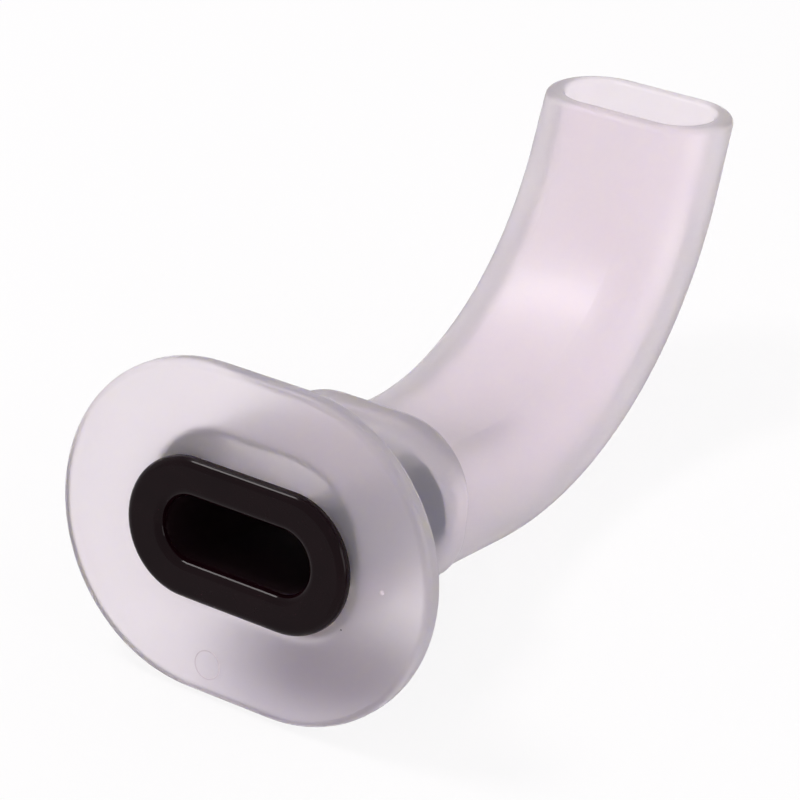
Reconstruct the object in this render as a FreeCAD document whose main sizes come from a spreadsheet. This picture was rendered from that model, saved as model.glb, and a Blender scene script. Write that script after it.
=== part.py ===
import FreeCAD, Part
import math
import os
import Sketcher
from FreeCAD import Placement, Rotation, Vector

# Oropharyngeal airway, small size, in two pieces:
#   airway_body  soft clear moulding: oval flange, bite section, curved flattened tube
#   bite_insert  hard black insert: collar on the flange, sleeve inside the bite section
#
# Both pieces are drawn with the flange upright: X across the lips, Y into the mouth, Z towards
# the hollow side of the bend. The flange's front face is Y = 0 and the middle of the slot is
# the origin. At the end both are laid down together, as the airway lies on a table.

# Driving sizes in millimetres, angles in degrees
SIZES = [
    ("flange_width", "31.2", "flange, end to end"),
    ("flange_height", "24.1", "flange, top to bottom"),
    ("flange_thickness", "1.6", "flange, front to back"),
    ("flange_rim_radius", "0.55", "rounding of the flange's rim"),
    ("flange_root_radius", "0.8", "rounding where the bite section leaves the flange"),
    ("slot_width", "12.4", "slot in the insert, end to end"),
    ("slot_height", "4.7", "slot in the insert, top to bottom"),
    ("slot_edge_radius", "0.65", "rounding of the slot's mouth"),
    ("collar_width", "18.6", "collar, end to end"),
    ("collar_height", "10.3", "collar, top to bottom"),
    ("collar_thickness", "0.8", "how far the collar stands off the flange"),
    ("collar_edge_radius", "0.6", "rounding of the collar's outer edge"),
    ("sleeve_wall", "1.75", "wall of the sleeve round the slot"),
    ("sleeve_depth", "12.8", "sleeve, from the flange's front face"),
    ("sleeve_end_radius", "0.4", "rounding of the sleeve's far end"),
    ("sleeve_clearance", "0.08", "gap between the sleeve and its bore, all round"),
    ("sleeve_end_gap", "0.3", "bore beyond the sleeve's end"),
    ("tube_width", "17", "tube across, where it leaves the bite section"),
    ("tip_width", "15.4", "tube across, at its tip"),
    ("tube_height", "8.75", "tube, convex side to hollow side"),
    ("tube_wall", "1.5", "wall of the tube"),
    ("tube_drop", "0.92", "tube's centre line below the middle of the slot"),
    ("straight_length", "24.1", "flange's front face to the start of the bend"),
    ("bend_radius", "24.4", "bend of the tube's centre line"),
    ("bend_angle", "77", "how far the tube turns"),
    ("tip_straight", "5.6", "straight stretch after the bend"),
    ("tip_cut_angle", "17.5", "lean of the tip's end face, longer on the convex side"),
    ("tip_edge_radius", "0.55", "rounding of the tip's outer edge"),
    ("tip_bore_radius", "0.35", "rounding of the tip's inner edge"),
    ("bite_length", "16.2", "flange's front face to the shoulder"),
    ("bite_rise", "3.2", "bite section above the tube, on the hollow side"),
    ("bite_step", "0.25", "bite section outside the tube, on its other sides"),
    ("bite_top_radius", "6", "corners of the bite section on the hollow side"),
    ("shoulder_radius", "1.2", "rounding of the shoulder"),
    ("throat_length", "3.4", "taper from the sleeve's bore to the tube's passage"),
]

# Sizes that follow from the driving ones
WORKED = [
    ("bore_width", "Dims.slot_width + 2 * (Dims.sleeve_wall + Dims.sleeve_clearance)"),
    ("bore_height", "Dims.slot_height + 2 * (Dims.sleeve_wall + Dims.sleeve_clearance)"),
    ("bore_depth", "Dims.sleeve_depth + Dims.sleeve_end_gap"),
    ("passage_start", "bore_depth + Dims.throat_length"),
    ("bite_width", "Dims.tube_width + 2 * Dims.bite_step"),
    ("bite_height", "Dims.tube_height + Dims.bite_rise + Dims.bite_step"),
    ("bite_middle", "(Dims.bite_rise - Dims.bite_step) / 2 - Dims.tube_drop"),
    # The tube starts inside the bite section, runs on past its tip and is cut back there
    ("tube_start", "Dims.bite_length - Dims.shoulder_radius - Dims.tube_wall"),
    ("tip_run", "Dims.tip_straight + Dims.tube_height / 2"),
    ("run_end_y", "Dims.straight_length + Dims.bend_radius * sin(Dims.bend_angle)"
                  " + tip_run * cos(Dims.bend_angle)"),
    ("run_end_z", "Dims.bend_radius * (1 - cos(Dims.bend_angle))"
                  " + tip_run * sin(Dims.bend_angle) - Dims.tube_drop"),
    ("tip_y", "run_end_y - (tip_run - Dims.tip_straight) * cos(Dims.bend_angle)"),
    ("tip_z", "run_end_z - (tip_run - Dims.tip_straight) * sin(Dims.bend_angle)"),
    ("tip_face_angle", "Dims.bend_angle + Dims.tip_cut_angle"),
    # The table touches the rear round of the flange's rim and the outer curve of the bend
    ("rim_y", "Dims.flange_thickness - Dims.flange_rim_radius"),
    ("rim_z", "Dims.flange_rim_radius - Dims.flange_height / 2"),
    ("bend_y", "Dims.straight_length - rim_y"),
    ("bend_z", "Dims.bend_radius - Dims.tube_drop - rim_z"),
    ("bend_excess", "Dims.bend_radius + Dims.tube_height / 2 - Dims.flange_rim_radius"),
    ("lean", "atan2(bend_z; bend_y) - asin(bend_excess / sqrt(bend_y ^ 2 + bend_z ^ 2))"),
    ("table_drop", "Dims.flange_rim_radius + rim_y * sin(lean) - rim_z * cos(lean)"),
]

TOLERANCE = 1e-4
QUARTER_TURN = math.pi / 2

doc = FreeCAD.newDocument("OropharyngealAirway")


def make_sheets():
    dims = doc.addObject("Spreadsheet::Sheet", "Dims")
    for row, (alias, value, meaning) in enumerate(SIZES, start=1):
        dims.set(f"A{row}", meaning)
        dims.set(f"B{row}", value)
        dims.setAlias(f"B{row}", alias)
    doc.recompute()
    worked = doc.addObject("Spreadsheet::Sheet", "Worked")
    for row, (alias, formula) in enumerate(WORKED, start=1):
        worked.set(f"A{row}", alias.replace("_", " "))
        worked.set(f"B{row}", "=" + formula)
        worked.setAlias(f"B{row}", alias)
    doc.recompute()
    return dims, worked


def add_sketch(body, name, role, depth="0", rise="0", turn="0"):
    # On XZ_Plane: depth is along +Y, rise along +Z, turn tips the sketch about X from Y to Z
    sketch = body.newObject("Sketcher::SketchObject", name)
    plane = [item for item in body.Origin.OriginFeatures if item.Role == role][0]
    sketch.AttachmentSupport = (plane, "")
    sketch.MapMode = "FlatFace"
    sketch.AttachmentOffset = Placement(Vector(), Rotation(Vector(1, 0, 0), 1))
    sketch.setExpression("AttachmentOffset.Base.y", rise)
    sketch.setExpression("AttachmentOffset.Base.z", f"-({depth})")
    sketch.setExpression("AttachmentOffset.Rotation.Angle", turn)
    return sketch


def bind(sketch, name, constraint, expression):
    index = sketch.addConstraint(constraint)
    sketch.renameConstraint(index, name)
    sketch.setExpression(f"Constraints.{name}", expression)


def draw_rounded_slot(sketch, width, height, top_radius, bottom_radius):
    # Rectangle with four round corners, centred on the sketch's origin
    right, top, low, high = 10, 8, 3, 4
    lines = [
        ((high - right, top), (right - high, top)),
        ((right, top - high), (right, low - top)),
        ((right - low, -top), (low - right, -top)),
        ((-right, low - top), (-right, top - high)),
    ]
    for start, end in lines:
        sketch.addGeometry(Part.LineSegment(Vector(*start, 0), Vector(*end, 0)))
    corners = [
        (right - high, top - high, high, 0),
        (right - low, low - top, low, 3),
        (low - right, low - top, low, 2),
        (high - right, top - high, high, 1),
    ]
    for x, z, radius, turn in corners:
        circle = Part.Circle(Vector(x, z, 0), Vector(0, 0, 1), radius)
        sketch.addGeometry(Part.ArcOfCircle(circle, turn * QUARTER_TURN, (turn + 1) * QUARTER_TURN))
    # Each line runs clockwise into the corner of the same number, and out of the one before
    for number in range(4):
        corner = number + 4
        following = (number + 1) % 4
        sketch.addConstraint(Sketcher.Constraint("Tangent", number, 2, corner, 2))
        sketch.addConstraint(Sketcher.Constraint("Tangent", corner, 1, following, 1))
    sketch.addConstraint(Sketcher.Constraint("Horizontal", 0))
    sketch.addConstraint(Sketcher.Constraint("Horizontal", 2))
    sketch.addConstraint(Sketcher.Constraint("Vertical", 1))
    sketch.addConstraint(Sketcher.Constraint("Vertical", 3))
    sketch.addConstraint(Sketcher.Constraint("Equal", 4, 7))
    sketch.addConstraint(Sketcher.Constraint("Equal", 5, 6))
    bind(sketch, "top_radius", Sketcher.Constraint("Radius", 4, high), top_radius)
    bind(sketch, "bottom_radius", Sketcher.Constraint("Radius", 5, low), bottom_radius)
    bind(sketch, "half_width", Sketcher.Constraint("DistanceX", -1, 1, 1, 1, right), f"({width}) / 2")
    bind(sketch, "width", Sketcher.Constraint("DistanceX", 3, 1, 1, 1, 2 * right), width)
    bind(sketch, "half_height", Sketcher.Constraint("DistanceY", -1, 1, 0, 1, top), f"({height}) / 2")
    bind(sketch, "height", Sketcher.Constraint("DistanceY", 2, 1, 0, 2, 2 * top), height)


def draw_obround(sketch, width, height):
    # Two straight sides joined by half circles, centred on the sketch's origin
    reach, radius = 6, 4
    sketch.addGeometry(Part.LineSegment(Vector(-reach, radius, 0), Vector(reach, radius, 0)))
    sketch.addGeometry(Part.LineSegment(Vector(reach, -radius, 0), Vector(-reach, -radius, 0)))
    for side in (1, -1):
        circle = Part.Circle(Vector(side * reach, 0, 0), Vector(0, 0, 1), radius)
        middle = QUARTER_TURN * (1 - side)
        sketch.addGeometry(Part.ArcOfCircle(circle, middle - QUARTER_TURN, middle + QUARTER_TURN))
    sketch.addConstraint(Sketcher.Constraint("Tangent", 0, 2, 2, 2))
    sketch.addConstraint(Sketcher.Constraint("Tangent", 2, 1, 1, 1))
    sketch.addConstraint(Sketcher.Constraint("Tangent", 1, 2, 3, 2))
    sketch.addConstraint(Sketcher.Constraint("Tangent", 3, 1, 0, 1))
    sketch.addConstraint(Sketcher.Constraint("Horizontal", 0))
    sketch.addConstraint(Sketcher.Constraint("Symmetric", 3, 3, 2, 3, -1, 1))
    sketch.addConstraint(Sketcher.Constraint("PointOnObject", 2, 3, -1))
    bind(sketch, "radius", Sketcher.Constraint("Radius", 2, radius), f"({height}) / 2")
    bind(sketch, "straight", Sketcher.Constraint("DistanceX", 3, 3, 2, 3, 2 * reach),
         f"({width}) - ({height})")


def draw_centre_line(sketch):
    # Straight, bend and straight again, from inside the bite section to past the tip
    start, bend, radius, end = 14, 24, 28, 9
    circle = Part.Circle(Vector(bend, radius, 0), Vector(0, 0, 1), radius)
    arc = Part.ArcOfCircle(circle, -QUARTER_TURN, -QUARTER_TURN / 2)
    out = arc.EndPoint
    sketch.addGeometry(Part.LineSegment(Vector(start, 0, 0), Vector(bend, 0, 0)))
    sketch.addGeometry(arc)
    sketch.addGeometry(Part.LineSegment(out, out + Vector(end, end, 0)))
    sketch.addConstraint(Sketcher.Constraint("Tangent", 0, 2, 1, 1))
    sketch.addConstraint(Sketcher.Constraint("Tangent", 1, 2, 2, 1))
    sketch.addConstraint(Sketcher.Constraint("PointOnObject", 0, 1, -1))
    sketch.addConstraint(Sketcher.Constraint("Horizontal", 0))
    bind(sketch, "start", Sketcher.Constraint("DistanceX", -1, 1, 0, 1, start), "Worked.tube_start")
    bind(sketch, "bend", Sketcher.Constraint("DistanceX", -1, 1, 0, 2, bend), "Dims.straight_length")
    bind(sketch, "radius", Sketcher.Constraint("Radius", 1, radius), "Dims.bend_radius")
    bind(sketch, "run", Sketcher.Constraint("Distance", 2, end), "Worked.tip_run")
    bind(sketch, "turn", Sketcher.Constraint("Angle", 2, QUARTER_TURN / 2), "Dims.bend_angle")


def draw_cut_back(sketch):
    # Everything past the tip's end face, which lies along the sketch's vertical axis
    depth, half = 8, 9
    corners = [(0, -half), (depth, -half), (depth, half), (0, half)]
    for start, end in zip(corners, corners[1:] + corners[:1]):
        sketch.addGeometry(Part.LineSegment(Vector(*start, 0), Vector(*end, 0)))
    for number in range(4):
        sketch.addConstraint(Sketcher.Constraint("Coincident", number, 2, (number + 1) % 4, 1))
    sketch.addConstraint(Sketcher.Constraint("Horizontal", 0))
    sketch.addConstraint(Sketcher.Constraint("Horizontal", 2))
    sketch.addConstraint(Sketcher.Constraint("Vertical", 1))
    sketch.addConstraint(Sketcher.Constraint("Vertical", 3))
    sketch.addConstraint(Sketcher.Constraint("PointOnObject", 0, 1, -2))
    bind(sketch, "depth", Sketcher.Constraint("DistanceX", 0, 1, 0, 2, depth), "Dims.tube_height")
    bind(sketch, "half", Sketcher.Constraint("DistanceY", 0, 1, -1, 1, half), "Dims.tube_height")
    bind(sketch, "length", Sketcher.Constraint("DistanceY", 1, 1, 1, 2, 2 * half), "2 * Dims.tube_height")


def add_feature(body, kind, name, links, sizes):
    before = body.Tip.Shape.Volume if body.Tip else 0
    feature = body.newObject(f"PartDesign::{kind}", name)
    for key, value in links.items():
        setattr(feature, key, value)
    for key, expression in sizes.items():
        feature.setExpression(key, expression)
    doc.recompute()
    change = feature.Shape.Volume - before
    if kind in ("Pocket", "SubtractiveLoft", "SubtractivePipe") and change > -1:
        raise RuntimeError(f"{name} cuts nothing")
    if kind in ("Pad", "AdditivePipe") and change < 1:
        raise RuntimeError(f"{name} adds nothing")
    return feature


def edges_round(feature, point, normal, inner=False):
    # Edges of the flat face in a plane: its outline, or the loop inside it
    for face in feature.Shape.Faces:
        flat = isinstance(face.Surface, Part.Plane)
        if flat and all(abs((corner.Point - point).dot(normal)) < TOLERANCE for corner in face.Vertexes):
            outline = face.OuterWire.Edges
            wanted = [edge for edge in face.Edges
                      if any(edge.isSame(other) for other in outline) != inner]
            return [f"Edge{number}" for number, edge in enumerate(feature.Shape.Edges, start=1)
                    if any(edge.isSame(other) for other in wanted)]
    raise RuntimeError(f"{feature.Name} has no flat face there")


def round_edges(body, name, edges, radius):
    return add_feature(body, "Fillet", name, {"Base": (body.Tip, edges)}, {"Radius": radius})


def make_airway_body(dims, worked):
    body = doc.addObject("PartDesign::Body", "airway_body")
    inward = Vector(0, 1, 0)

    # Flange with a rounded rim
    flange = add_sketch(body, "flange_outline", "XZ_Plane")
    draw_obround(flange, "Dims.flange_width", "Dims.flange_height")
    add_feature(body, "Pad", "flange", {"Profile": flange, "Reversed": True},
                {"Length": "Dims.flange_thickness"})
    front = Vector()
    rear = Vector(0, dims.flange_thickness, 0)
    rim = edges_round(body.Tip, front, inward) + edges_round(body.Tip, rear, inward)
    round_edges(body, "flange_rim", rim, "Dims.flange_rim_radius")

    # Bite section: the tube's section, raised on the hollow side, with a rounded shoulder
    bite = add_sketch(body, "bite_outline", "XZ_Plane", rise="Worked.bite_middle")
    draw_rounded_slot(bite, "Worked.bite_width", "Worked.bite_height",
                      "Dims.bite_top_radius", "Dims.tube_height / 2 + Dims.bite_step")
    add_feature(body, "Pad", "bite_section", {"Profile": bite, "Reversed": True},
                {"Length": "Dims.bite_length"})
    root = edges_round(body.Tip, rear, inward, inner=True)
    round_edges(body, "flange_root", root, "Dims.flange_root_radius")
    shoulder = edges_round(body.Tip, Vector(0, dims.bite_length, 0), inward)
    round_edges(body, "shoulder", shoulder, "Dims.shoulder_radius")

    # Curved tube and its passage: the same centre line, each narrowing towards the tip
    centre_line = add_sketch(body, "centre_line", "YZ_Plane", rise="-Dims.tube_drop")
    draw_centre_line(centre_line)
    pipes = {}
    for name, inset in (("tube", "0"), ("passage", "2 * Dims.tube_wall")):
        start = add_sketch(body, f"{name}_start", "XZ_Plane", "Worked.tube_start", "-Dims.tube_drop")
        draw_obround(start, f"Dims.tube_width - {inset}", f"Dims.tube_height - {inset}")
        end = add_sketch(body, f"{name}_end", "XZ_Plane", "Worked.run_end_y", "Worked.run_end_z",
                         "Dims.bend_angle")
        draw_obround(end, f"Dims.tip_width - {inset}", f"Dims.tube_height - {inset}")
        pipes[name] = {"Profile": start, "Sections": [end], "Spine": centre_line,
                       "Transformation": "Multisection"}
    add_feature(body, "AdditivePipe", "tube", pipes["tube"], {})

    # Bore for the insert's sleeve, then the passage, then the throat that joins them
    bore = add_sketch(body, "sleeve_bore_outline", "XZ_Plane")
    draw_obround(bore, "Worked.bore_width", "Worked.bore_height")
    add_feature(body, "Pocket", "sleeve_bore", {"Profile": bore}, {"Length": "Worked.bore_depth"})
    add_feature(body, "SubtractivePipe", "passage", pipes["passage"], {})
    wide = add_sketch(body, "throat_start", "XZ_Plane", "Worked.bore_depth")
    draw_obround(wide, "Worked.bore_width", "Worked.bore_height")
    # The narrow end stops just inside the passage, so that no ledge is left
    narrow = add_sketch(body, "throat_end", "XZ_Plane", "Worked.passage_start", "-Dims.tube_drop")
    draw_obround(narrow, "Dims.tip_width - 2 * Dims.tube_wall",
                 "Dims.tube_height - 2 * Dims.tube_wall - Dims.bite_step")
    add_feature(body, "SubtractiveLoft", "throat", {"Profile": wide, "Sections": [narrow]}, {})

    # Tip cut to its end face, with both edges rounded
    cut = add_sketch(body, "cut_back_outline", "YZ_Plane")
    cut.AttachmentOffset = Placement(Vector(), Rotation(Vector(0, 0, 1), 1))
    cut.setExpression("AttachmentOffset.Base.x", "Worked.tip_y")
    cut.setExpression("AttachmentOffset.Base.y", "Worked.tip_z")
    cut.setExpression("AttachmentOffset.Rotation.Angle", "Worked.tip_face_angle")
    draw_cut_back(cut)
    add_feature(body, "Pocket", "tip_face", {"Profile": cut, "SideType": "Symmetric"},
                {"Length": "2 * Dims.tube_width"})
    facing = math.radians(worked.tip_face_angle)
    tip = Vector(0, worked.tip_y, worked.tip_z)
    outward = Vector(0, math.cos(facing), math.sin(facing))
    round_edges(body, "tip_edge", edges_round(body.Tip, tip, outward), "Dims.tip_edge_radius")
    mouth = edges_round(body.Tip, tip, outward, inner=True)
    round_edges(body, "tip_bore_edge", mouth, "Dims.tip_bore_radius")
    return body


def make_bite_insert(dims):
    body = doc.addObject("PartDesign::Body", "bite_insert")
    inward = Vector(0, 1, 0)

    # Collar on the flange's front face
    collar = add_sketch(body, "collar_outline", "XZ_Plane")
    draw_obround(collar, "Dims.collar_width", "Dims.collar_height")
    add_feature(body, "Pad", "collar", {"Profile": collar}, {"Length": "Dims.collar_thickness"})
    face = Vector(0, -dims.collar_thickness, 0)
    round_edges(body, "collar_edge", edges_round(body.Tip, face, inward), "Dims.collar_edge_radius")

    # Sleeve, a sliding fit in the bite section
    sleeve = add_sketch(body, "sleeve_outline", "XZ_Plane")
    draw_obround(sleeve, "Worked.bore_width - 2 * Dims.sleeve_clearance",
                 "Worked.bore_height - 2 * Dims.sleeve_clearance")
    add_feature(body, "Pad", "sleeve", {"Profile": sleeve, "Reversed": True},
                {"Length": "Dims.sleeve_depth"})
    end = Vector(0, dims.sleeve_depth, 0)
    round_edges(body, "sleeve_end", edges_round(body.Tip, end, inward), "Dims.sleeve_end_radius")

    # Slot right through, with a rounded mouth
    slot = add_sketch(body, "slot_outline", "XZ_Plane", "-Dims.collar_thickness")
    draw_obround(slot, "Dims.slot_width", "Dims.slot_height")
    add_feature(body, "Pocket", "slot", {"Profile": slot},
                {"Length": "Dims.collar_thickness + Dims.sleeve_depth"})
    mouth = edges_round(body.Tip, face, inward, inner=True)
    round_edges(body, "slot_mouth", mouth, "Dims.slot_edge_radius")
    return body


def lay_down(pieces):
    # Tipped until the flange's rim and the bend both touch the table, then centred over the origin
    for piece in pieces:
        piece.Placement = Placement(Vector(), Rotation(Vector(-1, 0, 0), 1))
        piece.setExpression("Placement.Rotation.Angle", "Worked.lean")
        piece.setExpression("Placement.Base.z", "Worked.table_drop")
    doc.recompute()
    box = Part.makeCompound([piece.Shape for piece in pieces]).optimalBoundingBox(False)
    for piece in pieces:
        place = piece.Placement
        place.Base.y = -(box.YMin + box.YMax) / 2
        piece.Placement = place
    doc.recompute()


def check(pieces):
    for item in doc.Objects:
        if "Invalid" in item.State or "Error" in item.State:
            raise RuntimeError(f"{item.Name} failed: {item.State}")
    for piece in pieces:
        shape = piece.Shape
        if shape.isNull() or not shape.isValid() or len(shape.Solids) != 1:
            raise RuntimeError(f"{piece.Label} is not one valid solid")
        print(piece.Label, "volume", round(shape.Volume, 2), "mm3,", len(shape.Faces), "faces")


dims, worked = make_sheets()
pieces = [make_airway_body(dims, worked), make_bite_insert(dims)]
lay_down(pieces)
check(pieces)
os.makedirs("parts", exist_ok=True)
for piece in pieces:
    piece.Shape.exportStep(f"parts/{piece.Label}.step")
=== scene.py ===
# %% [markdown]
# # An oropharyngeal airway on a white table
# The real object is a small curved breathing tube. Its soft body is one milky, see-through moulding:
# an oval flange that rests on the lips, a short bite section and a flattened tube that bends over the
# tongue. A hard black insert sits inside the bite section, so that teeth can't close the way through.
# The two parts come from the construction model and stay where they are. This lesson gives them
# their plastics, adds the small marks that a mould leaves, and lights them like a catalogue picture.

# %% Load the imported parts
import bmesh
import bpy
import math
from mathutils import Matrix, Vector


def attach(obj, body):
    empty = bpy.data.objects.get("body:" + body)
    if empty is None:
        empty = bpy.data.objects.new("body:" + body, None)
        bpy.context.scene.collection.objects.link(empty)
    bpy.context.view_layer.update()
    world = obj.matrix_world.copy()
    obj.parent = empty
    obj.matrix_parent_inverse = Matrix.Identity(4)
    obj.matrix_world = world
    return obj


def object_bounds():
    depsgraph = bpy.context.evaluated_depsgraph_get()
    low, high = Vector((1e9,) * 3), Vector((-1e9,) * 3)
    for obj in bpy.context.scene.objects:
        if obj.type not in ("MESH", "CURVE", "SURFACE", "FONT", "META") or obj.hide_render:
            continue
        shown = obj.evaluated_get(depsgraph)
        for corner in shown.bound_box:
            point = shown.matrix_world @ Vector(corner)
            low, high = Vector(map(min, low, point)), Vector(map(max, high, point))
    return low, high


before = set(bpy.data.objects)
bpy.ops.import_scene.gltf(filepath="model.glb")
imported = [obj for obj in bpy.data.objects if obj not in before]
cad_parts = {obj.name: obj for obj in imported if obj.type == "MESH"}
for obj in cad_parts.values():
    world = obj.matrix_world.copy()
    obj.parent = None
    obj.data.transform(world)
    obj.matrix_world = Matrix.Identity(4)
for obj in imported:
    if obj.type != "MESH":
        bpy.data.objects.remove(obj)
built_low, built_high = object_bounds()
print("parts:", sorted(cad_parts))
print("size in mm:", [round(1000 * side, 2) for side in built_high - built_low])

# %% [markdown]
# ## Sizes
# Blender works in metres, and a mould maker thinks in millimetres, so every length below is written
# as a number of millimetres times `MM`. The airway lies tipped back on its rim and on its bend. Its
# own upright frame is easier to draw in, with X across the flange, Y into the mouth and Z towards the
# hollow side of the bend. One matrix then lays a finished piece down in the same way as the parts.

# %% Sizes and the upright frame
MM = 0.001
FLANGE_MIDDLE = Vector((0, -27.392, 11.954)) * MM
LEAN = math.radians(14.259)

laid_down = Matrix.Translation(FLANGE_MIDDLE) @ Matrix.Rotation(-LEAN, 4, "X")
print("the flange's middle lies at", [round(value, 5) for value in laid_down.translation])

# %% [markdown]
# ## The camera
# The photograph was taken from the flange's side, from a little above, with a long lens. A long lens
# from far away keeps the flange and the tip in nearly the same scale. The camera is placed by its
# direction: azimuth round the object, elevation above the table, and a slight roll.

# %% Place the camera
AZIMUTH = math.radians(35.62)
ELEVATION = math.radians(31.76)
ROLL = math.radians(-2.35)
LENS = 148.0
SENSOR_WIDTH = 36.0
CAMERA_PLACE = Vector((117.85, -172.28, 138.42)) * MM
NEAREST_SEEN = 10 * MM
FARTHEST_SEEN = 10000 * MM


def camera_axes(azimuth, elevation, roll):
    back = Vector((math.sin(azimuth) * math.cos(elevation),
                   -math.cos(azimuth) * math.cos(elevation),
                   math.sin(elevation)))
    level_right = Vector((math.cos(azimuth), math.sin(azimuth), 0))
    level_up = back.cross(level_right)
    right = math.cos(roll) * level_right + math.sin(roll) * level_up
    return right, back.cross(right), back


camera_data = bpy.data.cameras.new("camera")
camera_data.lens = LENS
camera_data.sensor_width = SENSOR_WIDTH
camera_data.clip_start = NEAREST_SEEN
camera_data.clip_end = FARTHEST_SEEN
camera = bpy.data.objects.new("camera", camera_data)
bpy.context.scene.collection.objects.link(camera)
turn = Matrix(camera_axes(AZIMUTH, ELEVATION, ROLL)).transposed().to_4x4()
camera.matrix_world = Matrix.Translation(CAMERA_PLACE) @ turn
bpy.context.scene.camera = camera
print("camera distance in mm:", round(CAMERA_PLACE.length / MM, 1))

# %% [markdown]
# ## Helpers for shader nodes
# Materials are built from nodes, and each node takes plain values or other nodes' outputs in its
# sockets. Six short functions take one such step each, so that the recipes below stay short. `feed`
# matters most: it fills sockets by their names.


# %% Helpers for nodes
def add_node(tree, kind, place, **settings):
    node = tree.nodes.new(kind)
    node.location = place
    for name, value in settings.items():
        setattr(node, name, value)
    return node


def feed(tree, node, sources):
    # Each socket, by its name or number, takes a plain value or another node's output
    for key, source in sources.items():
        socket = node.inputs[key]
        if isinstance(source, bpy.types.NodeSocket):
            tree.links.new(source, socket)
        elif socket.type == "RGBA":
            socket.default_value = (*source, 1)
        else:
            socket.default_value = source


def add_math(tree, place, operation, first, second):
    node = add_node(tree, "ShaderNodeMath", place, operation=operation)
    feed(tree, node, {0: first, 1: second})
    return node.outputs["Value"]


def add_mix(tree, place, kind, factor, first, second):
    # kind is "RGBA" for colours and "FLOAT" for plain numbers
    node = add_node(tree, "ShaderNodeMix", place, data_type=kind)
    feed(tree, node, {"Factor": factor, "A": first, "B": second})
    return node.outputs["Result"]


def add_range(tree, place, source, low, high, to_low=0.0, to_high=1.0):
    node = add_node(tree, "ShaderNodeMapRange", place)
    feed(tree, node, {"Value": source, "From Min": low, "From Max": high,
                      "To Min": to_low, "To Max": to_high})
    return node.outputs["Result"]


def add_bump(tree, place, height, distance):
    node = add_node(tree, "ShaderNodeBump", place)
    feed(tree, node, {"Height": height, "Distance": distance})
    return node.outputs["Normal"]


print("helpers:", [tool.__name__ for tool in (add_node, feed, add_math, add_mix, add_range, add_bump)])

# %% [markdown]
# ## Node groups
# An effect that several materials share goes into a node group: it is built once, has named inputs
# and outputs, and each material uses it with its own numbers. Here are two helpers, one that starts a
# group and one that uses it.


# %% Helpers for node groups
def new_group(name, inputs, outputs):
    group = bpy.data.node_groups.new(name, "ShaderNodeTree")
    for label, kind, value in inputs:
        socket = group.interface.new_socket(label, in_out="INPUT", socket_type="NodeSocket" + kind)
        socket.default_value = value
    for label in outputs:
        group.interface.new_socket(label, in_out="OUTPUT", socket_type="NodeSocketFloat")
    start = add_node(group, "NodeGroupInput", (-900, 0))
    end = add_node(group, "NodeGroupOutput", (600, 0))
    return group, start.outputs, end


def use_group(tree, group, place, sources):
    node = add_node(tree, "ShaderNodeGroup", place, node_tree=group)
    feed(tree, node, sources)
    return node.outputs


def print_sockets(group):
    print(group.name, "has", [item.name for item in group.interface.items_tree])


print("helpers:", [tool.__name__ for tool in (new_group, use_group, print_sockets)])


# %% [markdown]
# ## What moulded plastic looks like close up
# All the plastics share one effect. A mould is polished, yet never perfectly: the surface carries a
# very fine grain, a few long flow waves and small changes in gloss. It could be painted in an image,
# but noise textures follow any shape and need no unwrapping. The group puts out a mask for the gloss,
# a mask for clouds inside the plastic, and a height for a Bump node.

# %% Build the moulded surface group
# Noise gathers round a half, and these spreads stretch it to a full mask
GLOSS_SPREAD = (0.3, 0.7)
CLOUD_SPREAD = (0.32, 0.68)


def make_moulded_group():
    group, given, end = new_group(
        "moulded surface",
        (("Grain Size", "Float", 0.25), ("Wave Size", "Float", 6.0),
         ("Cloud Size", "Float", 4.0), ("Wave Share", "Float", 0.5)),
        ("Gloss Mask", "Cloud Mask", "Height"))
    coordinates = add_node(group, "ShaderNodeTexCoord", (-900, -300))
    noises = {}
    for number, (size, detail, roughness) in enumerate((
            ("Grain Size", 2, 0.5), ("Wave Size", 1, 0.4), ("Cloud Size", 3, 0.55))):
        # A size in millimetres becomes a scale, which is the number of noise cells in a metre
        scale = add_math(group, (-650, -250 * number), "DIVIDE", 1 / MM, given[size])
        noise = add_node(group, "ShaderNodeTexNoise", (-400, -250 * number))
        feed(group, noise, {"Vector": coordinates.outputs["Object"], "Scale": scale,
                            "Detail": detail, "Roughness": roughness})
        noises[size] = noise.outputs["Fac"]
    feed(group, end, {
        "Gloss Mask": add_range(group, (-100, 0), noises["Wave Size"], *GLOSS_SPREAD),
        "Cloud Mask": add_range(group, (-100, -250), noises["Cloud Size"], *CLOUD_SPREAD),
        "Height": add_mix(group, (200, 0), "FLOAT", given["Wave Share"],
                          noises["Grain Size"], noises["Wave Size"]),
    })
    return group


moulded_surface = make_moulded_group()
print_sockets(moulded_surface)

# %% [markdown]
# ## A soft oval in space
# Two places get painted shade without an edge: the flange's foot close to the table, and the table's
# shadow under the bite section. Both are a zone with an oval outline that fades out. The group
# measures how far a point is from the middle, in shares of the oval's reach, and turns that into a
# mask: 1 in the middle and 0 outside.


# %% Build the soft oval group
def make_oval_group():
    group, given, end = new_group(
        "soft oval",
        (("Centre", "Vector", (0, 0, 0)), ("Reach", "Vector", (1, 1, 1)),
         ("Full Until", "Float", 0), ("Gone From", "Float", 1)),
        ("Mask",))
    coordinates = add_node(group, "ShaderNodeTexCoord", (-900, 300))
    mapping = add_node(group, "ShaderNodeMapping", (-600, 100), vector_type="TEXTURE")
    feed(group, mapping, {"Vector": coordinates.outputs["Object"],
                          "Location": given["Centre"], "Scale": given["Reach"]})
    length = add_node(group, "ShaderNodeVectorMath", (-300, 100), operation="LENGTH")
    feed(group, length, {0: mapping.outputs["Vector"]})
    mask = add_range(group, (100, 0), length.outputs["Value"],
                     given["Full Until"], given["Gone From"], 1, 0)
    feed(group, end, {"Mask": mask})
    return group


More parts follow.
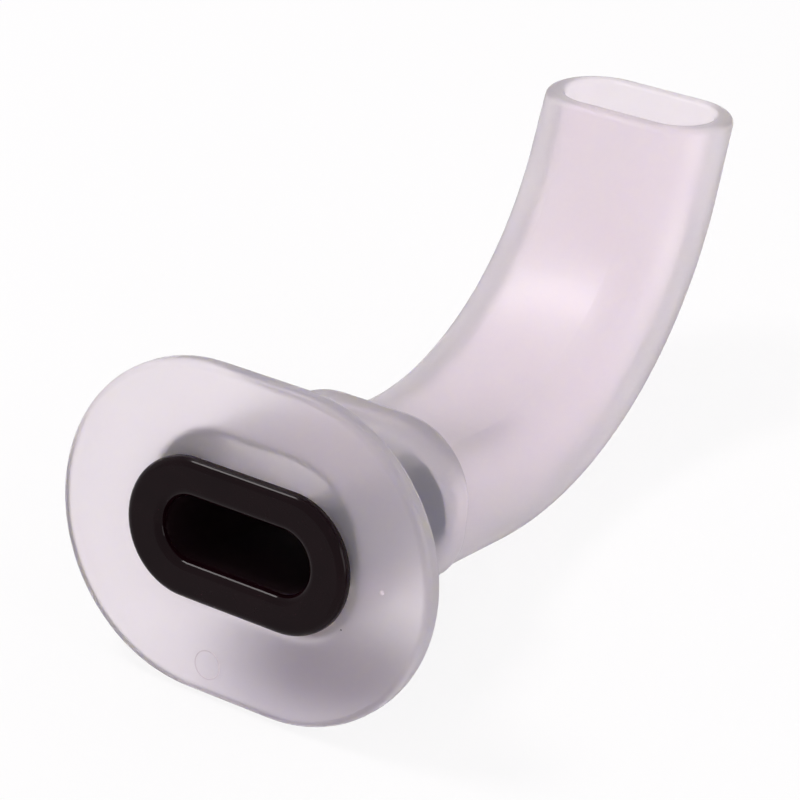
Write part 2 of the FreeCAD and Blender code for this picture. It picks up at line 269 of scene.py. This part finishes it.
def add_soft_oval(tree, place, centre, reach, full_until, gone_from):
    outputs = use_group(tree, soft_oval, place, {
        "Centre": centre, "Reach": reach, "Full Until": full_until, "Gone From": gone_from})
    return outputs["Mask"]


soft_oval = make_oval_group()
print_sockets(soft_oval)

# %% [markdown]
# ## The milky clear moulding
# Soft airway plastic is neither glass nor paint. Some light goes straight through and is blurred by
# the satin surface, and some is scattered by the milky plastic itself. Principled does both at once:
# Transmission with a middling Roughness, and Subsurface for the milk. A black thing that touches the
# plastic from inside then shows through as a soft dark patch, and nothing is painted on the outside.
# The colour is a pale lilac white, a little warmer and cooler in clouds, with painted shade where the
# flange comes close to the table.


# %% Make the clear moulding's material
COOL_MILK = (0.955, 0.875, 0.922)
WARM_MILK = (0.97, 0.90, 0.942)
# Painted shade: the flange's lower right, close to the table, is darkened to this tone in a soft oval
MILK_IN_PAINTED_SHADE = (0.82, 0.755, 0.83)
PAINTED_SHADE_CENTRE = (5.5 * MM, -29.9 * MM, 2.0 * MM)
PAINTED_SHADE_REACH = (12 * MM, 9 * MM, 8 * MM)
SATIN = (0.35, 0.43)


def new_material(name):
    material = bpy.data.materials.new(name)
    material.use_nodes = True
    tree = material.node_tree
    tree.nodes.clear()
    shader = add_node(tree, "ShaderNodeBsdfPrincipled", (500, 0))
    output = add_node(tree, "ShaderNodeOutputMaterial", (850, 0))
    feed(tree, output, {"Surface": shader.outputs["BSDF"]})
    return material, tree, shader


def add_moulded_surface(tree, grain, wave, cloud, wave_share):
    return use_group(tree, moulded_surface, (-700, 0), {
        "Grain Size": grain, "Wave Size": wave, "Cloud Size": cloud, "Wave Share": wave_share})


def make_clear_moulding():
    material, tree, shader = new_material("milky clear moulding")
    surface = add_moulded_surface(tree, grain=0.22, wave=5.0, cloud=4.5, wave_share=0.7)
    clouds = add_mix(tree, (0, 200), "RGBA", surface["Cloud Mask"], COOL_MILK, WARM_MILK)
    # Painted shade, mixed into the base colour where the flange comes close to the table
    painted_shade = add_soft_oval(tree, (0, 450), PAINTED_SHADE_CENTRE, PAINTED_SHADE_REACH,
                               full_until=0.1, gone_from=1.05)
    feed(tree, shader, {
        "Base Color": add_mix(tree, (250, 300), "RGBA", painted_shade, clouds, MILK_IN_PAINTED_SHADE),
        "Roughness": add_range(tree, (0, 0), surface["Gloss Mask"], 0, 1, *SATIN),
        "Normal": add_bump(tree, (0, -250), surface["Height"], distance=0.02 * MM),
        "IOR": 1.4,
        "Transmission Weight": 0.82,
        "Subsurface Weight": 1.0,
        "Subsurface Radius": (1.0, 1.0, 0.6),
        "Subsurface Scale": 6 * MM,
        "Coat Weight": 0.07,
        "Coat Roughness": 0.25,
    })
    return material


clear_moulding = make_clear_moulding()
print("made", clear_moulding.name)

# %% [markdown]
# ## The hard black insert
# The insert is a harder plastic, filled with black pigment. It is nearly black with a trace of brown,
# and its smooth edges show as thin bright lines where they turn towards the lamp. A low specular
# level keeps the flat face dark. The walls of the slot are left as the tool cut them, matt instead of
# polished, and swallow the light. The material tells them by how far in they lie, in the upright
# frame, so collar and slot need no split of the mesh.

# %% Make the insert's material
BLACK = (0.0052, 0.0010, 0.0020)
BROWNISH_BLACK = (0.0072, 0.0018, 0.0030)
POLISHED = (0.07, 0.12)
MATT = 0.85
POLISHED_UNTIL = -0.35 * MM
MATT_FROM = 0.3 * MM


def add_upright_place(tree, place):
    # Where a point lies in the upright frame: X across, Y into the mouth, Z up
    coordinates = add_node(tree, "ShaderNodeTexCoord", (place[0] - 400, place[1]))
    upright = add_node(tree, "ShaderNodeMapping", (place[0] - 200, place[1]),
                       vector_type="TEXTURE")
    feed(tree, upright, {"Vector": coordinates.outputs["Object"],
                         "Location": FLANGE_MIDDLE, "Rotation": (-LEAN, 0, 0)})
    split = add_node(tree, "ShaderNodeSeparateXYZ", place)
    feed(tree, split, {"Vector": upright.outputs["Vector"]})
    return split.outputs


def make_hard_insert():
    material, tree, shader = new_material("hard black insert")
    surface = add_moulded_surface(tree, grain=0.12, wave=3.0, cloud=2.5, wave_share=0.35)
    polished = add_range(tree, (-300, 0), surface["Gloss Mask"], 0, 1, *POLISHED)
    depth = add_upright_place(tree, (-700, -500))["Y"]
    inside = add_range(tree, (-500, -500), depth, POLISHED_UNTIL, MATT_FROM)
    feed(tree, shader, {
        "Base Color": add_mix(tree, (0, 200), "RGBA", surface["Cloud Mask"],
                              BLACK, BROWNISH_BLACK),
        "Roughness": add_mix(tree, (0, 0), "FLOAT", inside, polished, MATT),
        "Normal": add_bump(tree, (0, -250), surface["Height"], distance=0.003 * MM),
        "Specular IOR Level": 0.1,
    })
    return material


hard_insert = make_hard_insert()
print("made", hard_insert.name)

# %% [markdown]
# Each part of the construction model has one material slot. Putting the finished plastic into that
# slot dresses the part and leaves its mesh as it is.


# %% Dress the two parts
def dress(node, material):
    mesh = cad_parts[node].data
    mesh.materials.clear()
    mesh.materials.append(material)
    print(node, "has", len(mesh.polygons), "faces in", material.name)


dress("airway_body", clear_moulding)
dress("bite_insert", hard_insert)

# %% [markdown]
# ## Where the moulding grips the sleeve
# The photograph shows a dark patch through the neck that ends in a round edge. That is the insert's
# sleeve. It looks dark only where the soft moulding is pressed against it, because there is no air
# between them. Over the flat top a thin gap of air mirrors the light and the neck stays pale. The
# built parts leave a small gap all round, so the two round ends get a thin black skin that closes it.
# The grip is firm in the middle, fades out downwards and is half lost at the upper edge, which is
# done with Alpha.


# %% Make the plastic of the gripped sleeve
GRIPPED_BLACK = (0.004, 0.003, 0.012)
GRIPPED_VIOLET = (0.008, 0.006, 0.02)
FADES_IN = (-1.3 * MM, 0.3 * MM)
THINS_OUT = (3.65 * MM, 3.95 * MM)
THINNEST = 0.4


def make_gripped_insert():
    material, tree, shader = new_material("insert where it is gripped")
    surface = add_moulded_surface(tree, grain=0.3, wave=2.0, cloud=1.5, wave_share=0.5)
    coordinates = add_node(tree, "ShaderNodeTexCoord", (-700, -500))
    split = add_node(tree, "ShaderNodeSeparateXYZ", (-500, -500))
    feed(tree, split, {"Vector": coordinates.outputs["Object"]})
    below = add_range(tree, (-250, -450), split.outputs["Z"], *FADES_IN)
    above = add_range(tree, (-250, -700), split.outputs["Z"], *THINS_OUT, 1.0, THINNEST)
    feed(tree, shader, {
        "Base Color": add_mix(tree, (0, 200), "RGBA", surface["Cloud Mask"],
                              GRIPPED_BLACK, GRIPPED_VIOLET),
        "Alpha": add_math(tree, (0, -500), "MULTIPLY", below, above),
        "Roughness": 0.3,
        "Specular IOR Level": 0.05,
    })
    return material


gripped_insert = make_gripped_insert()
print("made", gripped_insert.name)

# %% [markdown]
# Each skin is an arc of a tube, made from four rows of points: the inner and the outer radius, at the
# near and at the far end. Mesh code gives it an even thickness and closed ends. A helper turns all
# faces outwards, lays the piece down and lets it ride with the airway.

# %% Close the gap at the sleeve's round ends
SLEEVE_END_MIDDLE = 3.85 * MM
SLEEVE_RADIUS = 4.10 * MM
BORE_RADIUS = 4.18 * MM
PRESSED_IN = 0.02 * MM
GRIP_FROM = 2.4 * MM
GRIP_TO = 13.05 * MM
GRIP_HALF_ARC = math.radians(84)
ARC_STEPS = 40


def make_arc_shell(name, middle, inner, outer, start, end, near, far):
    vertices = []
    for step in range(ARC_STEPS + 1):
        angle = start + (end - start) * step / ARC_STEPS
        for radius, depth in ((inner, near), (outer, near), (outer, far), (inner, far)):
            vertices.append((middle + radius * math.cos(angle), depth, radius * math.sin(angle)))
    faces = [(3, 2, 1, 0), tuple(4 * ARC_STEPS + corner for corner in range(4))]
    for step in range(ARC_STEPS):
        for corner in range(4):
            first, second = 4 * step + corner, 4 * step + (corner + 1) % 4
            faces.append((first, second, second + 4, first + 4))
    mesh = bpy.data.meshes.new(name)
    mesh.from_pydata(vertices, [], faces)
    return mesh


def turn_faces_out(mesh):
    shell = bmesh.new()
    shell.from_mesh(mesh)
    bmesh.ops.recalc_face_normals(shell, faces=shell.faces)
    shell.to_mesh(mesh)
    shell.free()


def add_piece(name, mesh, place, material):
    turn_faces_out(mesh)
    piece = bpy.data.objects.new(name, mesh)
    bpy.context.scene.collection.objects.link(piece)
    piece.matrix_world = laid_down @ place
    mesh.materials.append(material)
    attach(piece, "root")
    print(name, "has", len(mesh.polygons), "faces")


for side, name, towards in ((1, "right_grip", 0), (-1, "left_grip", math.pi)):
    skin = make_arc_shell(name, side * SLEEVE_END_MIDDLE,
                          SLEEVE_RADIUS - PRESSED_IN, BORE_RADIUS + PRESSED_IN,
                          towards - GRIP_HALF_ARC, towards + GRIP_HALF_ARC, GRIP_FROM, GRIP_TO)
    add_piece(name, skin, Matrix.Identity(4), gripped_insert)

# %% [markdown]
# ## The marks that the mould leaves
# A close look at the flange's face shows three small things. A pip stands where the plastic was fed
# into the mould and twisted off. A faint ring is the edge of the pin that pushed the part out. A dark
# speck is a grain of scorched plastic. They could be drawn with a bump, but real height catches the
# light at any angle. Each is a small turned shape: a profile of radius and height, spun round its own
# axis.


# %% Turn a profile into a mesh
ROUND_STEPS = 6


def make_turned_mesh(name, profile, around):
    # The profile starts and ends on the axis, or is a closed loop off the axis for a ring
    vertices, faces, rows = [], [], []
    for radius, height in profile:
        if radius == 0:
            rows.append([len(vertices)] * around)
            vertices.append((0, -height, 0))
            continue
        rows.append(list(range(len(vertices), len(vertices) + around)))
        for step in range(around):
            angle = 2 * math.pi * step / around
            vertices.append((radius * math.cos(angle), -height, radius * math.sin(angle)))
    is_ring = profile[0][0] != 0
    following_rows = rows[1:] + rows[:1] if is_ring else rows[1:]
    for first, second in zip(rows, following_rows):
        for step in range(around):
            after = (step + 1) % around
            corners = [first[step], first[after], second[after], second[step]]
            # At the axis two corners are one point, which leaves a triangle
            face = list(dict.fromkeys(corners))
            if len(face) > 2:
                faces.append(face)
    mesh = bpy.data.meshes.new(name)
    mesh.from_pydata(vertices, [], faces)
    mesh.polygons.foreach_set("use_smooth", [True] * len(faces))
    return mesh


def dome(radius, height, sunk, steps=ROUND_STEPS):
    profile = [(0, -sunk), (radius, -sunk)]
    for step in range(steps):
        angle = math.pi / 2 * step / steps
        profile.append((radius * math.cos(angle), height * math.sin(angle)))
    return profile + [(0, height)]


def ridge(radius, width, height, sunk):
    profile = [(radius - width / 2, -sunk), (radius + width / 2, -sunk)]
    for step in range(ROUND_STEPS + 1):
        angle = math.pi * step / ROUND_STEPS
        profile.append((radius + width / 2 * math.cos(angle), height * math.sin(angle)))
    return profile


print("profiles are rounded in", ROUND_STEPS, "steps")


# %% [markdown]
# Pip and ring are the moulding's own plastic, but a clear piece that overlaps a clear body draws a
# dark line where the two meet. So they get a milky plastic that isn't see-through, with painted shade
# to the tone that the lit flange shows there. Each mark is sunk a little into the face, so that no
# edge floats.

# %% Set the marks on the face
# Painted shade: an opaque copy of the milky plastic, darkened to how the lit flange looks there, with
# random cloud tones between these two
DARKER_SHADED_MILK = (0.70, 0.64, 0.68)
LIGHTER_SHADED_MILK = (0.78, 0.71, 0.75)
MARK_GLOSS = (0.30, 0.45)
SUNK = 0.005 * MM


def make_shaded_mark_plastic():
    material, tree, shader = new_material("moulding mark")
    surface = add_moulded_surface(tree, grain=0.2, wave=1.0, cloud=0.8, wave_share=0.5)
    feed(tree, shader, {
        "Base Color": add_mix(tree, (0, 200), "RGBA", surface["Cloud Mask"],
                              DARKER_SHADED_MILK, LIGHTER_SHADED_MILK),
        "Roughness": add_range(tree, (0, 0), surface["Gloss Mask"], 0, 1, *MARK_GLOSS),
    })
    return material


def set_on_face(name, profile, across, up, material, around):
    mesh = make_turned_mesh(name, profile, around)
    add_piece(name, mesh, Matrix.Translation((across, 0, up)), material)


shaded_mark_plastic = make_shaded_mark_plastic()
set_on_face("gate_pip", dome(radius=0.16 * MM, height=0.06 * MM, sunk=SUNK),
            across=11.87 * MM, up=0.27 * MM,
            material=shaded_mark_plastic, around=48)
set_on_face("pin_ring", ridge(radius=1.05 * MM, width=0.1 * MM, height=0.007 * MM, sunk=SUNK),
            across=-1.7 * MM, up=-9.7 * MM,
            material=shaded_mark_plastic, around=72)
set_on_face("dark_speck", dome(radius=0.055 * MM, height=0.01 * MM, sunk=SUNK, steps=3),
            across=8.97 * MM, up=-3.42 * MM,
            material=hard_insert, around=16)

# %% [markdown]
# ## The table and the backdrop
# A catalogue picture stands on white. The floor is a plain pale sheet that still takes the object's
# shadow: most of what the camera sees is the floor's own even white, and the rest is lit by the lamps.
# The Light Path node tells the rays apart. Rays that come through the clear plastic see the same
# white, and mirrored rays see less of it, which keeps the black collar black. Under the bite section
# the table's shadow is painted as a soft dark oval on the floor, which only rays that come through
# the plastic see.


# %% Say how white each kind of ray sees a surface
def add_seen_white(tree, place, straight, mirrored, through):
    path = add_node(tree, "ShaderNodeLightPath", place)
    shares = {"Is Camera Ray": straight, "Is Glossy Ray": mirrored, "Is Transmission Ray": through}
    whitest = 0.0
    for number, (ray, share) in enumerate(shares.items()):
        down = place[1] - 180 * number
        seen = add_math(tree, (place[0] + 200, down), "MULTIPLY", path.outputs[ray], share)
        whitest = add_math(tree, (place[0] + 400, down), "MAXIMUM", whitest, seen)
    return whitest


# %% [markdown]
# The floor lies a hair below the airway's lowest point, so that the two never share a surface.

# %% Lay the floor
WHITE = (1, 1, 1)
LIT_TABLE = (0.92, 0.92, 0.92)
# Painted shadow: the colour of the dark oval on the floor under the bite section
SHADED_TABLE = (0.09, 0.075, 0.10)
SHADE_CENTRE = (4.2 * MM, -21.5 * MM, 0)
SHADE_REACH = (10.5 * MM, 7.8 * MM, 1)
FLOOR_REACH = 600 * MM
FLOOR_GAP = 0.02 * MM


def make_floor_material():
    material = bpy.data.materials.new("white table")
    material.use_nodes = True
    tree = material.node_tree
    tree.nodes.clear()
    # Painted shadow: a soft dark oval under the bite section, seen only by rays through the plastic
    under = add_soft_oval(tree, (-900, -300), SHADE_CENTRE, SHADE_REACH,
                          full_until=0.4, gone_from=1.15)
    path = add_node(tree, "ShaderNodeLightPath", (-900, -550))
    shade = add_math(tree, (-500, -300), "MULTIPLY", under, path.outputs["Is Transmission Ray"])
    lit = add_node(tree, "ShaderNodeBsdfDiffuse", (0, 0))
    feed(tree, lit, {
        "Color": add_mix(tree, (-250, 0), "RGBA", shade, LIT_TABLE, SHADED_TABLE)})
    even = add_node(tree, "ShaderNodeEmission", (0, -150))
    feed(tree, even, {
        "Color": add_mix(tree, (-250, -250), "RGBA", shade, WHITE, SHADED_TABLE)})
    mix = add_node(tree, "ShaderNodeMixShader", (300, 0))
    feed(tree, mix, {
        0: add_seen_white(tree, (-700, 200), straight=0.85, mirrored=0.4, through=0.85),
        1: lit.outputs["BSDF"],
        2: even.outputs["Emission"],
    })
    output = add_node(tree, "ShaderNodeOutputMaterial", (600, 0))
    feed(tree, output, {"Surface": mix.outputs["Shader"]})
    return material


floor_mesh = bpy.data.meshes.new("floor")
corners = [(-FLOOR_REACH, -FLOOR_REACH, 0), (FLOOR_REACH, -FLOOR_REACH, 0),
           (FLOOR_REACH, FLOOR_REACH, 0), (-FLOOR_REACH, FLOOR_REACH, 0)]
floor_mesh.from_pydata(corners, [], [(0, 1, 2, 3)])
floor = bpy.data.objects.new("floor", floor_mesh)
bpy.context.scene.collection.objects.link(floor)
floor.location.z = built_low.z - FLOOR_GAP
floor_mesh.materials.append(make_floor_material())
print("floor at", round(floor.location.z / MM, 3), "mm")

# %% [markdown]
# ## Light
# The photograph has one broad lamp above, on the left: it draws the thin lines on the black collar
# and the soft patch on the bend. A wide, low lamp on the right fills the shaded side of the tube. The
# rest is even light from a pale room, which the world gives at a plain level.

# %% Hang the lamps
LAMP_COLOUR = (1.0, 0.955, 0.965)
middle = (built_low + built_high) / 2


def add_lamp(name, offset, size, watts):
    # The lamp hangs at an offset from the object's middle and faces it
    lamp_data = bpy.data.lights.new(name, "AREA")
    lamp_data.shape = "RECTANGLE"
    lamp_data.size, lamp_data.size_y = size
    lamp_data.energy = watts
    lamp_data.color = LAMP_COLOUR
    lamp = bpy.data.objects.new(name, lamp_data)
    bpy.context.scene.collection.objects.link(lamp)
    lamp.location = middle + offset
    lamp.rotation_mode = "QUATERNION"
    lamp.rotation_quaternion = offset.to_track_quat("Z", "Y")
    print(name, "gives", round(lamp_data.energy, 2), "W")


add_lamp("overhead softbox", offset=Vector((-143, -30, 268)) * MM,
         size=(78 * MM, 78 * MM), watts=0.33)
add_lamp("right fill", offset=Vector((270, 10, 45)) * MM,
         size=(200 * MM, 160 * MM), watts=0.33)

# %% [markdown]
# The world does two jobs. As light it is a slightly pink grey, so that the object stays below white.
# Seen by the camera, or through the plastic, it is the white backdrop.

# %% Make the world
ROOM_LIGHT = (0.68, 0.632, 0.665)


def make_world():
    world = bpy.data.worlds.new("pale room")
    world.use_nodes = True
    tree = world.node_tree
    tree.nodes.clear()
    seen = add_seen_white(tree, (-700, 0), straight=1, mirrored=0.45, through=1)
    background = add_node(tree, "ShaderNodeBackground", (250, 0))
    feed(tree, background, {"Color": add_mix(tree, (0, 0), "RGBA", seen, ROOM_LIGHT, WHITE)})
    output = add_node(tree, "ShaderNodeOutputWorld", (500, 0))
    feed(tree, output, {"Surface": background.outputs["Background"]})
    return world


bpy.context.scene.world = make_world()
bpy.context.scene.view_settings.view_transform = "Standard"
print("world:", bpy.context.scene.world.name)
